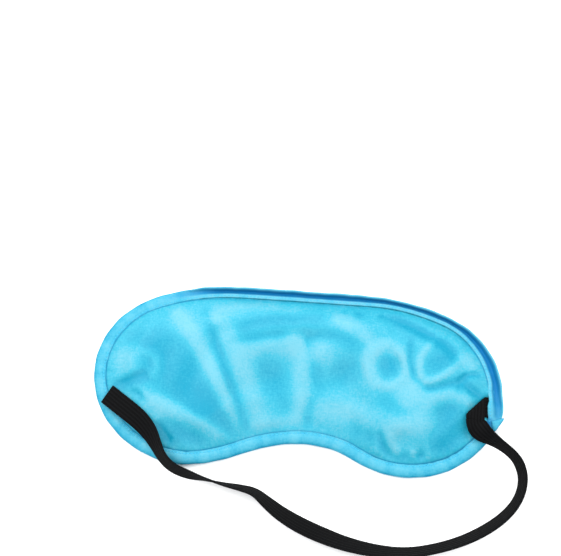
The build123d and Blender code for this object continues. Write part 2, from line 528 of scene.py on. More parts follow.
def applied(piece, modifier_type, **settings):
    """Adds a modifier and applies it."""
    modifier = piece.modifiers.new(modifier_type.lower(), modifier_type)
    for name, value in settings.items():
        setattr(modifier, name, value)
    graph = bpy.context.evaluated_depsgraph_get()
    mesh = bpy.data.meshes.new_from_object(piece.evaluated_get(graph))
    piece.modifiers.clear()
    old = piece.data
    piece.data = mesh
    bpy.data.meshes.remove(old)


# ---- materials

def new_material(name):
    material = bpy.data.materials.new(name)
    material.use_nodes = True
    return material, material.node_tree, material.node_tree.nodes["Principled BSDF"]


def add_node(tree, kind, **inputs):
    node = tree.nodes.new(kind)
    for name, value in inputs.items():
        node.inputs[name.replace("_", " ")].default_value = value
    return node


def attribute(tree, name):
    """A value that the mesh carries at each vertex."""
    node = tree.nodes.new("ShaderNodeAttribute")
    node.attribute_name = name
    return node.outputs["Fac"]


def mixed(tree, share, first, second):
    """Mix of two colours by share. first is a colour or another node's output."""
    node = tree.nodes.new("ShaderNodeMix")
    node.data_type = "RGBA"
    tree.links.new(share, node.inputs["Factor"])
    node.inputs["B"].default_value = (*second, 1)
    if isinstance(first, tuple):
        node.inputs["A"].default_value = (*first, 1)
    else:
        tree.links.new(first, node.inputs["A"])
    return node.outputs["Result"]


def bumped(tree, height, strength, distance, normal=None):
    """Normal of a surface with a relief, over another relief's normal if one is given."""
    node = add_node(tree, "ShaderNodeBump", Strength=strength, Distance=distance)
    tree.links.new(height, node.inputs["Height"])
    if normal:
        tree.links.new(normal, node.inputs["Normal"])
    return node.outputs["Normal"]


def satin(name, painted_colours, gloss):
    """Woven satin. Its four colours are a painted highlight on a ridge, the flat colour, painted shade
    in a hollow and painted shade inside a crease.
    """
    material, tree, shader = new_material(name)
    link = tree.links.new
    place = tree.nodes.new("ShaderNodeTexCoord")
    crinkle = add_node(tree, "ShaderNodeTexNoise", Scale=CRINKLE_SCALE, Detail=4.0, Roughness=0.62)
    link(place.outputs["Object"], crinkle.inputs["Vector"])

    # The painted light and shade of the folds and the random streaks add up to one value
    total = attribute(tree, "painted_light_and_shade")
    for scale, amount in STREAKS:
        stretch = tree.nodes.new("ShaderNodeMapping")
        stretch.inputs["Scale"].default_value = scale
        link(place.outputs["Object"], stretch.inputs["Vector"])
        streaks = add_node(tree, "ShaderNodeTexNoise", Scale=1.0, Detail=2.0)
        link(stretch.outputs["Vector"], streaks.inputs["Vector"])
        spread = add_node(tree, "ShaderNodeMapRange", From_Min=0.25, From_Max=0.75,
                          To_Min=-amount, To_Max=amount)
        link(streaks.outputs["Fac"], spread.inputs["Value"])
        add = tree.nodes.new("ShaderNodeMath")
        link(total, add.inputs[0])
        link(spread.outputs["Result"], add.inputs[1])
        total = add.outputs["Value"]

    lit_ridge, flat, shaded_hollow, painted_crease_shade = painted_colours
    colour = flat
    for other, full in ((lit_ridge, 1.0), (shaded_hollow, -1.0)):
        share = add_node(tree, "ShaderNodeMapRange", From_Min=0.0, From_Max=full)
        link(total, share.inputs["Value"])
        colour = mixed(tree, share.outputs["Result"], colour, other)
    # Painted shade: the colour goes towards the crease colour where the vertex's painted shade is high
    colour = mixed(tree, attribute(tree, "painted_shade"), colour, painted_crease_shade)
    link(colour, shader.inputs["Base Color"])

    twill = add_node(tree, "ShaderNodeTexWave", Scale=0.5 / WEAVE / math.pi, Distortion=0.6, Detail=1.0)
    twill.bands_direction = "DIAGONAL"
    link(place.outputs["UV"], twill.inputs["Vector"])
    fine = bumped(tree, twill.outputs["Fac"], 0.35, 0.00003)
    link(bumped(tree, crinkle.outputs["Fac"], 0.6, 0.00007, fine), shader.inputs["Normal"])

    polish = add_node(tree, "ShaderNodeMapRange", From_Min=0.3, From_Max=0.7, To_Min=0.34,
                      To_Max=0.44)
    link(crinkle.outputs["Fac"], polish.inputs["Value"])
    link(polish.outputs["Result"], shader.inputs["Roughness"])
    shader.inputs["Specular IOR Level"].default_value = gloss
    shader.inputs["Anisotropic"].default_value = 0.3
    shader.inputs["Sheen Weight"].default_value = 0.02
    shader.inputs["Sheen Roughness"].default_value = 0.4
    return material


def elastic_material():
    """Black ribbed elastic: fine cross threads over lengthwise ribs."""
    material, tree, shader = new_material("black_elastic")
    link = tree.links.new
    place = tree.nodes.new("ShaderNodeTexCoord")
    threads = add_node(tree, "ShaderNodeTexWave", Scale=0.5 / CROSS_THREAD_PITCH / math.pi,
                       Distortion=1.5, Detail=2.0)
    threads.bands_direction = "Y"
    link(place.outputs["UV"], threads.inputs["Vector"])
    fuzz = add_node(tree, "ShaderNodeTexNoise", Scale=900.0, Detail=3.0)
    link(place.outputs["Object"], fuzz.inputs["Vector"])
    ribs = add_node(tree, "ShaderNodeTexWave", Scale=math.pi / 10 / (STRAP_WIDTH / STRAP_RIBS),
                    Distortion=0.15)
    link(place.outputs["UV"], ribs.inputs["Vector"])
    # Painted sheen: the colour goes lighter and darker with each rib
    link(mixed(tree, ribs.outputs["Fac"], *RUBBER_RIB_SHEEN_COLOURS), shader.inputs["Base Color"])
    low = bumped(tree, threads.outputs["Fac"], 0.6, 0.00008)
    link(bumped(tree, fuzz.outputs["Fac"], 0.4, 0.00005, low), shader.inputs["Normal"])
    shader.inputs["Roughness"].default_value = 0.85
    shader.inputs["Specular IOR Level"].default_value = 0.08
    return material


def fibre_material(name, colours, relief, roughness, **noise):
    """Loose or twisted fibres: one noise mixes the two colours and gives the relief."""
    material, tree, shader = new_material(name)
    place = tree.nodes.new("ShaderNodeTexCoord")
    fibres = add_node(tree, "ShaderNodeTexNoise", **noise)
    tree.links.new(place.outputs["Object"], fibres.inputs["Vector"])
    tree.links.new(mixed(tree, fibres.outputs["Fac"], *colours), shader.inputs["Base Color"])
    tree.links.new(bumped(tree, fibres.outputs["Fac"], *relief), shader.inputs["Normal"])
    shader.inputs["Roughness"].default_value = roughness
    return material


# ---- strap

def rolled(along, across):
    """The right sewn end by distance along and across it: middle of its thickness and outer normal."""
    ahead = np.array([-math.cos(ROLL_RISE), 0.0, math.sin(ROLL_RISE)])
    aside = np.array([0.0, 1.0, 0.0])
    up = np.array([math.sin(ROLL_RISE), 0.0, math.cos(ROLL_RISE)])
    slant_sin, slant_cos = math.sin(ROLL_SLANT), math.cos(ROLL_SLANT)
    axis = slant_sin * aside - slant_cos * ahead
    lead = slant_sin * ahead + slant_cos * aside
    past = (along - ROLL_FLAT) * slant_sin + across * slant_cos
    beside = across * slant_sin - (along - ROLL_FLAT) * slant_cos
    turn = np.clip(past / ROLL_RADIUS, 0, math.pi)
    forward = (np.minimum(past, 0) + ROLL_RADIUS * np.sin(turn)
               - np.maximum(past - math.pi * ROLL_RADIUS, 0))
    lift = ROLL_RADIUS * (1 - np.cos(turn))
    place = (ROLL_START + ROLL_FLAT * ahead + beside[..., None] * axis + forward[..., None] * lead
             + lift[..., None] * up)
    normal = np.sin(turn)[..., None] * lead - np.cos(turn)[..., None] * up
    return place, normal


def roll_length():
    """Length of the right sewn end up to where its whole width is past the roll."""
    half_width = STRAP_WIDTH / 2 * math.cos(ROLL_SLANT)
    return ROLL_FLAT + (math.pi * ROLL_RADIUS + half_width) / math.sin(ROLL_SLANT)


def roll_end():
    """Where the free strap takes over from the roll: place, direction onwards and width direction."""
    length = roll_length()
    place = rolled(np.array([length, length + MM, length]), np.array([0.0, 0.0, MM]))[0]
    return Vector(place[0]), Vector(place[1] - place[0]) / MM, Vector(place[2] - place[0]) / MM


def width_vectors(points, tilts):
    """Direction of the strap's width at each point, by its tilt."""
    vectors = []
    for index, tilt in enumerate(tilts):
        before = points[max(index - 1, 0)]
        after = points[min(index + 1, len(points) - 1)]
        along = (after - before).normalized()
        left = Vector((0, 0, 1)).cross(along).normalized()
        angle = math.radians(tilt)
        vectors.append(math.cos(angle) * left + math.sin(angle) * along.cross(left))
    return vectors


def spline_points(points):
    """The points that a smooth curve through the route has."""
    curve = bpy.data.curves.new("route", "CURVE")
    curve.dimensions = "3D"
    curve.resolution_u = 12
    spline = curve.splines.new("NURBS")
    spline.points.add(len(points) - 1)
    for place, point in zip(spline.points, points):
        place.co = (*point, 1)
    spline.order_u = 3
    spline.use_endpoint_u = True
    route = bpy.data.objects.new("route", curve)
    scene.collection.objects.link(route)
    graph = bpy.context.evaluated_depsgraph_get()
    line = bpy.data.meshes.new_from_object(route.evaluated_get(graph))
    found = np.array([vertex.co for vertex in line.vertices])
    bpy.data.objects.remove(route)
    bpy.data.meshes.remove(line)
    return found


def strap_line():
    """Centre line of the whole strap and its width direction at each point."""
    rows = LEFT_END + STRAP_ROUTE
    points = [Vector(row[:3]) for row in rows]
    widths = width_vectors(points, [row[3] for row in rows])
    end, onwards, width = roll_end()
    points += [end + 1.5 * MM * onwards, end]
    widths += [width, width]
    centre = spline_points(points)
    edge = spline_points([point + STRAP_WIDTH / 2 * width for point, width in zip(points, widths)])
    along = np.gradient(centre, axis=0)
    along /= np.linalg.norm(along, axis=1)[:, None]
    width = edge - centre
    width -= (width * along).sum(axis=1)[:, None] * along
    width /= np.linalg.norm(width, axis=1)[:, None]
    return centre, width, np.cross(along, width)


def strap_section():
    """The band's cross-section as (across, up): lengthwise ribs on both faces, rounded edges."""
    across = np.linspace(-1, 1, SECTION_POINTS)
    rounded = np.sqrt(np.clip(1 - np.abs(across) ** 14, 0, 1))
    ribs = RIB_HEIGHT * np.cos(across * math.pi * STRAP_RIBS)
    up = (STRAP_THICKNESS / 2 + ribs) * rounded
    top = np.column_stack([across * STRAP_WIDTH / 2, up])
    bottom = np.column_stack([across[::-1] * STRAP_WIDTH / 2, -up[::-1]])
    return np.vstack([top, bottom[1:-1]])


def strap_band(name, line, stretch, material):
    """A stretch of the strap's line as a closed mesh."""
    centre, width, normal = (rows[stretch] for rows in line)
    section = strap_section()
    vertices = (centre[:, None] + section[None, :, 0, None] * width[:, None]
                + section[None, :, 1, None] * normal[:, None])
    stations, count = vertices.shape[:2]
    band = make_mesh(name, vertices.reshape(-1, 3), tube_faces(stations, count), material)
    runs = np.concatenate([[0], np.cumsum(np.linalg.norm(np.diff(centre, axis=0), axis=1))])
    across = np.tile(section[:, 0], stations)
    set_uv(band, np.column_stack([across, np.repeat(runs, count)]))
    return band


def rolled_end(name, material):
    """The right sewn end as a closed mesh, from under the lip to past the roll."""
    section = strap_section()
    runs = np.arange(0, roll_length() + ROLL_STEP / 2, ROLL_STEP)
    runs = np.append(runs[:-1], roll_length())
    along, across = np.meshgrid(runs, section[:, 0], indexing="ij")
    place, normal = rolled(along, across)
    vertices = place + section[None, :, 1, None] * normal
    stations, count = along.shape
    band = make_mesh(name, vertices.reshape(-1, 3), tube_faces(stations, count), material)
    set_uv(band, np.column_stack([across.ravel(), along.ravel()]))
    return band


# ---- padded panels

def triangulated(points, edges):
    """Triangles over the points inside a closed outline of edges: (x, y) rows and faces."""
    found = delaunay_2d_cdt([Vector(point) for point in points], edges, [], 1, 1e-7)
    return np.array([(v.x, v.y) for v in found[0]]), [tuple(face) for face in found[2]]


def panel_mesh(name, rim, material):
    """A flat sheet inside the tape, as small triangles, finer beside the seam."""
    vertices = []
    boundary = 0
    for inset in RING_INSETS:
        spacing = 0.0011 + 0.25 * (inset - PANEL_EDGE)
        every = max(1, round(spacing / (rim.length / len(rim.xy))))
        ring = rim.xy[::every] + inset * rim.inward[::every]
        vertices += [tuple(point) for point in ring]
        boundary = boundary or len(ring)
    reach_x, reach_y = GRID_REACH
    grid = []
    for index, y in enumerate(np.arange(-reach_y, reach_y, GRID * math.sqrt(3) / 2)):
        shift = GRID / 2 if index % 2 else 0.0
        grid += [(x + shift, y) for x in np.arange(-reach_x, reach_x, GRID)]
    inset = rim.locate(grid)[0]
    vertices += [point for point, depth in zip(grid, inset) if depth > GRID_INSET]
    edges = [(index, (index + 1) % boundary) for index in range(boundary)]
    flat, faces = triangulated(vertices, edges)
    return make_mesh(name, np.column_stack([flat, np.zeros(len(flat))]), faces, material)


def pad_height(inset):
    """Height of the back panel over the wadding at rest, before it wrinkles."""
    share = np.clip((inset - PAD_START) / PAD_RAMP, 0, 1)
    return PAD_BASE + PAD_RISE * (1 - (1 - share) ** PAD_POWER)


def front_height(inset):
    """Height of the front panel: it comes down from the seam to lie flat."""
    share = np.clip((inset - TAPE_WIDTH) / (FRONT_RAMP - TAPE_WIDTH), 0, 1)
    return FRONT_EDGE_HEIGHT * (1 - share) ** FRONT_POWER


def smoothed(piece, values, rounds):
    """Values at a piece's vertices, evened out between neighbours."""
    edges = np.zeros(len(piece.data.edges) * 2, np.int32)
    piece.data.edges.foreach_get("vertices", edges)
    edges = edges.reshape(-1, 2)
    count = np.zeros(len(values))
    np.add.at(count, edges.ravel(), 1)
    for _ in range(rounds):
        total = np.zeros_like(values)
        np.add.at(total, edges[:, 0], values[edges[:, 1]])
        np.add.at(total, edges[:, 1], values[edges[:, 0]])
        values = 0.5 * values + 0.5 * total / count[:, None]
    return values


def inflate(panel, inset):
    """Cloth simulation: the sheet swells over the wadding, held at its seam."""
    before = positions(panel.data)
    held = panel.vertex_groups.new(name="held")
    held.add([int(index) for index in np.nonzero(inset < HELD_INSET)[0]], 1.0, "REPLACE")
    modifier = panel.modifiers.new("cloth", "CLOTH")
    for name, value in CLOTH.items():
        setattr(modifier.settings, name, value)
    modifier.settings.effector_weights.gravity = 0
    modifier.collision_settings.use_collision = False
    modifier.point_cache.frame_start = 1
    modifier.point_cache.frame_end = CLOTH_FRAMES
    for number in range(1, CLOTH_FRAMES + 1):
        scene.frame_set(number)
    graph = bpy.context.evaluated_depsgraph_get()
    swollen = bpy.data.meshes.new_from_object(panel.evaluated_get(graph))
    after = positions(swollen)
    panel.modifiers.clear()
    panel.vertex_groups.clear()
    bpy.data.meshes.remove(swollen)
    scene.frame_set(1)
    move = after - before
    length = np.linalg.norm(move, axis=1)
    print(f"cloth moved {length.mean() / MM:.2f} mm on average, {length.max() / MM:.2f} at most")
    scale = np.minimum(1, CLOTH_CAP / np.maximum(length, 1e-9))
    set_positions(panel, before + smoothed(panel, move * scale[:, None], SMOOTH_ROUNDS))


# Folds of the back panel: three points of a crest, its size, and the widths of its two flanks, the
# left one first, looking from the first point to the last. Negative sizes are hollows. Each fold also
# paints light and shade into the satin: lighter on ridges, darker in hollows.
BACK_FOLDS = [
    # hollows
    ((-88, 18), (-76, 12), (-62, 6), -0.6, 5, 5),
    ((-77, 13), (-59, 0), (-40, -20), -1.4, 7.5, 8.5),
    ((-60, -5), (-44, -17), (-25, -31), -1.3, 4, 4.5),
    ((-49, 33), (-36, 1), (-22, -30), -1.2, 1.8, 1.8),
    ((-33, 20), (-15, 28), (12, 30), -1.0, 2.2, 2.6),
    ((-36, 14), (-18, 19), (4, 24), -1.0, 2.0, 1.8),
    ((-19, 12), (-13, 0), (-3, -19), -0.6, 4.2, 4.2),
    ((2, 22), (6, 8), (9, -10), -0.7, 3, 3),
    ((14, 5), (23, 4), (31, 7), -0.9, 4, 4),
    ((6, -8), (5, -18), (3, -30), -1.0, 2, 2),
    ((0, 18), (13, 22), (31, 16), -0.9, 2.5, 2.5),
    ((54, 26), (53.5, 7), (65, -2), -1.4, 1.4, 1.4),
    ((58, -2), (71, 1), (83, 7), -1.5, 1.6, 1.6),
    ((59, 8), (67, 12), (77, 19), -1.1, 3.2, 3.2),
    ((38, 39), (55, 30.5), (77, 19), -2.2, 2.4, 2.6),
    ((93, 8), (81, 7), (77, -3), -1.5, 1.2, 1.2),
    ((79, 4), (84, 0.5), (91, -4), -2.0, 1.8, 1.8),
    ((64, -31), (76, -27), (88, -21), -1.4, 5, 5),
    ((38, -6), (46, -12), (56, -16), -0.8, 3, 3),
    ((39, -25), (45, -36), (57, -40), -1.8, 1.3, 1.3),
    ((-92, -11), (-81, -6.5), (-73, -3), -2.2, 1.6, 2.2),
    ((-66, -27), (-52, -32), (-38, -37), -0.8, 3.5, 3.5),
    ((-67, -26), (-62, -33), (-57, -41), -1.8, 1.6, 1.6),
    # ridges
    ((-65, 34), (-44.5, 4), (-24, -32), 1.7, 2.4, 2.8),
    ((-43, 31), (-28, 3), (-15, -29), 1.3, 3.2, 3.2),
    ((-46, 23), (-30, 36), (6, 37), 1.2, 3, 3),
    ((-34, 8), (-16, 14), (2, 17), 1.0, 3.5, 3.5),
    ((-7, 24), (1, 2), (-1, -24), 1.4, 3, 3),
    ((13, 32), (24, 27), (34, 18), 1.3, 3, 3),
    ((37, 19), (32.5, 8), (38, -3), 1.4, 2.4, 2.4),
    ((32, 11), (41, 19), (51, 12), 1.3, 2.4, 2.4),
    ((36, 0), (43, -1.5), (50, 3), 1.2, 1.7, 1.7),
    ((49, 0), (50.5, 9), (45, 17), 1.5, 1.6, 1.4),
    ((67, 27), (58.5, 15), (58, 3), 1.2, 1.2, 1.2),
    ((57, 6), (65, 3), (84, 21), 1.4, 1.3, 1.5),
    ((50, 35), (66, 29), (82, 18), 0.8, 2.5, 2.5),
    ((58, -11), (72, -4), (86, -10), 1.2, 2.8, 2.8),
    ((40, -24), (54, -19), (66, -21), 1.1, 4, 4),
    ((5, -20), (20, -15), (40, -23), 0.8, 4, 4),
    ((-76, -15), (-56, -21), (-30, -35), 1.5, 2.6, 3),
    ((-22, -27), (-8, -23), (4, -25), 0.9, 3.5, 3.5),
    ((44, -25), (47, -32), (51, -34), 0.8, 1.6, 1.6),
    ((-80, 8), (-70, 4), (-71, -6), 1.3, 1.8, 1.8),
    # This hollow and the round one at (-60.5, -34.5) lie beside the strap: their dark colour is a
    # painted shadow of the strap
    ((-82, -12.5), (-77, -14), (-72.5, -18.5), -1.1, 1.2, 1.2),
]
# Round ones: middle, size and width
BACK_MOUNDS = [
    ((42.5, 8), -1.5, 3.6),
    ((73, -13), -1.3, 5),
    ((52, -37), -1.8, 2),
    ((60, -35), -1.8, 1.5),
    ((27, -26), -0.7, 2.5),
    ((34, -28), -0.7, 2.2),
    ((20, 36), -0.9, 1.5),
    ((27, 35), -1.1, 1.8),
    ((38, 35), -0.9, 1.6),
    ((-60, 24), 0.35, 5),
    # Painted shadow of the strap beside it
    ((-60.5, -34.5), -1.1, 1.4),
    ((9, 13), 1.2, 4.5),
    ((84, 15), 1.2, 3.5),
    ((54, -5), 1.2, 6),
    ((-84, 3), 1.1, 5),
    ((56.5, -34), 0.9, 1.4),
    ((64, -36), 0.9, 1.6),
]
# Height of a fold of size 1, the size that takes the satin's painted light or shade three quarters
# of the way to its lightest or darkest, and the insets between which folds fade in
FOLD_HEIGHT = 0.5
FOLD_FULL = 1.05
FOLD_FADE = (0.0055, 0.012)
# Creases of the front panel, seen from inside: it lies on them, so they only rise
FRONT_FOLDS = [
    ((-70, 20), (-48, 4), (-30, -20), 1.2, 3.5, 5),
    ((-40, 28), (-20, 16), (-8, -8), 1.0, 3, 4),
    ((10, 26), (22, 8), (20, -16), 1.1, 4, 3.5),
    ((36, 30), (48, 12), (70, 6), 1.3, 3.5, 3),
    ((40, -24), (56, -10), (80, -8), 1.1, 3, 4),
    ((-84, -4), (-66, -12), (-44, -32), 0.9, 3, 3),
]


def crest_distance(points, xy):
    """For each (x, y): signed distance from a crest through three points, and the place along it."""
    a, b, c = (np.array(point) * MM for point in points)
    middle = 2 * b - (a + c) / 2
    share = np.linspace(0, 1, 33)[:, None]
    line = (1 - share) ** 2 * a + 2 * share * (1 - share) * middle + share ** 2 * c
    tangent = np.gradient(line, axis=0)
    tangent /= np.linalg.norm(tangent, axis=1)[:, None]
    offset = xy[:, None] - line[None]
    nearest = (offset ** 2).sum(axis=2).argmin(axis=1)
    picked = offset[np.arange(len(xy)), nearest]
    side = tangent[nearest, 0] * picked[:, 1] - tangent[nearest, 1] * picked[:, 0]
    ahead = (picked * tangent[nearest]).sum(axis=1) / np.linalg.norm(np.diff(line, axis=0), axis=1).sum()
    return side, share[nearest, 0] + ahead


def bell(distance, width):
    """1 in the middle, falling smoothly to nearly 0 at twice the width."""
    return np.exp(-(distance / width) ** 2)


def folds_size(folds, mounds, xy):
    """Sum of the folds at each (x, y), in their own sizes."""
    total = np.zeros(len(xy))
    for start, middle, end, size, left, right in folds:
        distance, share = crest_distance((start, middle, end), xy)
        width = np.where(distance >= 0, left, right) * MM
        taper = np.sqrt(np.sin(math.pi * np.clip(share, 0, 1)))
        total += size * taper * np.exp(-(distance / width) ** 2 / 2)
    for place, size, width in mounds:
        away = np.hypot(*(xy - np.array(place) * MM).T)
        total += size * np.exp(-(away / width / MM) ** 2 / 2)
    return total


def press_under(values, line, clearance):
    """Lowers a panel to leave room for the strap lying over it."""
    centre, width = line[:2]
    rows = np.nonzero(np.abs(width[:, 2]) < PRESS_UPRIGHT)[0]
    tree = KDTree(len(rows))
    for index, row in enumerate(rows):
        tree.insert((centre[row, 0], centre[row, 1], 0), index)
    tree.balance()
    for vertex in values:
        _, index, distance = tree.find((vertex[0], vertex[1], 0))
        if distance > PRESS_REACH:
            continue
        row = rows[index]
        across = (vertex[:2] - centre[row, :2]) @ width[row, :2]
        flatness = max(0.2, width[row, 0] ** 2 + width[row, 1] ** 2)
        reach = np.clip(across / flatness, -STRAP_WIDTH / 2, STRAP_WIDTH / 2)
        ceiling = centre[row, 2] + reach * width[row, 2] - clearance
        ceiling += PRESS_SLOPE * max(0.0, distance - STRAP_WIDTH / 2)
        vertex[2] = min(vertex[2], ceiling)
    return values


def press_under_roll(values, clearance):
    """Lowers a panel to leave room for both layers of the right sewn end."""
    slant_sin, slant_cos = math.sin(ROLL_SLANT), math.cos(ROLL_SLANT)
    run = (ROLL_START[0] - values[:, 0]) / math.cos(ROLL_RISE) - ROLL_FLAT
    side = values[:, 1] - ROLL_START[1]
    plane = ROLL_START[2] + (ROLL_START[0] - values[:, 0]) * math.tan(ROLL_RISE)
    past = run * slant_sin + side * slant_cos
    beside = side * slant_sin - run * slant_cos
    for layer, lift in ((past, 0.0), (math.pi * ROLL_RADIUS - past, 2 * ROLL_RADIUS)):
        across = layer * slant_cos + beside * slant_sin
        along = layer * slant_sin - beside * slant_cos + ROLL_FLAT
        outside = np.maximum(np.abs(across) - STRAP_WIDTH / 2, 0)
        outside += np.maximum(along - roll_length(), 0)
        outside += np.maximum(-along, 0) + np.maximum(past - ROLL_RADIUS, 0)
        ceiling = plane + lift - STRAP_THICKNESS / 2 - clearance + PRESS_SLOPE * outside
        values[:, 2] = np.minimum(values[:, 2], ceiling)
    return values


def back_panel(rim, line, material):
    """Satin that faces the eyes."""
    panel = panel_mesh("back_panel_satin", rim, material)
    flat = positions(panel.data)
    inset, around = rim.locate(flat[:, :2])
    flat[:, 2] = pad_height(inset)
    set_positions(panel, flat)
    inflate(panel, inset)
    applied(panel, "SUBSURF", levels=1, render_levels=1)
    shaped = positions(panel.data)
    inset, around = rim.locate(shaped[:, :2])
    size = folds_size(BACK_FOLDS, BACK_MOUNDS, shaped[:, :2]) * smoothstep(*FOLD_FADE, inset)
    shaped[:, 2] += size * FOLD_HEIGHT * MM
    height, middle, width = BACK_PUCKER
    pucker = ripple(rim, around, (0.0046, 0.0061, 0.0083, 0.0127), 3)
    shaped[:, 2] += height * pucker * bell(inset - middle, width)
    set_uv(panel, shaped[:, :2])
    shaped = press_under(rim.settle(shaped), line, STRAP_GAP)
    shaped = press_under_roll(shaped, ROLL_GAP)
    set_positions(panel, shaped)
    # Painted shade in the crease where the panel goes under the tape, and painted light and shade by
    # fold height: lighter on ridges, darker in hollows
    strength = PAINTED_CREASE_SHADE_STRENGTH - PAINTED_CREASE_SHADE_LOSS * rim.narrow(around)
    painted_crease_shade = bell(inset - TAPE_WIDTH, PAINTED_CREASE_SHADE_WIDTH) * strength
    set_painted_shade(panel, np.clip(painted_crease_shade, 0, 1))
    set_painted_light_and_shade(panel, np.tanh(size / FOLD_FULL))
    return panel


def front_panel(rim, material):
    """Satin that faces outwards, flattened where the mask rests on it."""
    panel = panel_mesh("front_panel_satin", rim, material)
    panel.data.flip_normals()
    applied(panel, "SUBSURF", levels=1, render_levels=1)
    shaped = positions(panel.data)
    inset, around = rim.locate(shaped[:, :2])
    shaped[:, 2] = front_height(inset)
    height, middle, width = FRONT_PUCKER
    pucker = ripple(rim, around, (0.0052, 0.0071, 0.0098), 5)
    shaped[:, 2] += height * (1 + pucker) * bell(inset - middle, width)
    size = folds_size(FRONT_FOLDS, [], shaped[:, :2]) * smoothstep(*FOLD_FADE, inset)
    shaped[:, 2] += size * FOLD_HEIGHT * MM
    set_uv(panel, shaped[:, :2])
    set_positions(panel, rim.settle(shaped))
    # Painted shade in the crease where the panel goes under the tape, and painted shade on its creases:
    # lighter where it lies flat, darker where it rises
    set_painted_shade(panel, bell(inset - TAPE_WIDTH, FRONT_PAINTED_CREASE_SHADE_WIDTH))
    set_painted_light_and_shade(panel, 0.3 - np.clip(size / FOLD_FULL, -1, 1))
    return panel


def padding_core(rim, back, material):
    """Wadding between the two satins: it follows the back panel from below."""
    top = positions(back.data)
    inset, around = rim.locate(top[:, :2])
    inset -= rim.pull(around)
    bottom = top.copy()
    size = folds_size(FRONT_FOLDS, [], top[:, :2])
    bottom[:, 2] = front_height(inset) + size * FOLD_HEIGHT * MM + CORE_GAP
    top[:, 2] = np.maximum(top[:, 2] - CORE_GAP, bottom[:, 2] + CORE_LEAST)
    faces = [tuple(face.vertices) for face in back.data.polygons]
    return thick_sheet("padding_core_wadding", top, bottom, faces, material)


# ---- binding and seam

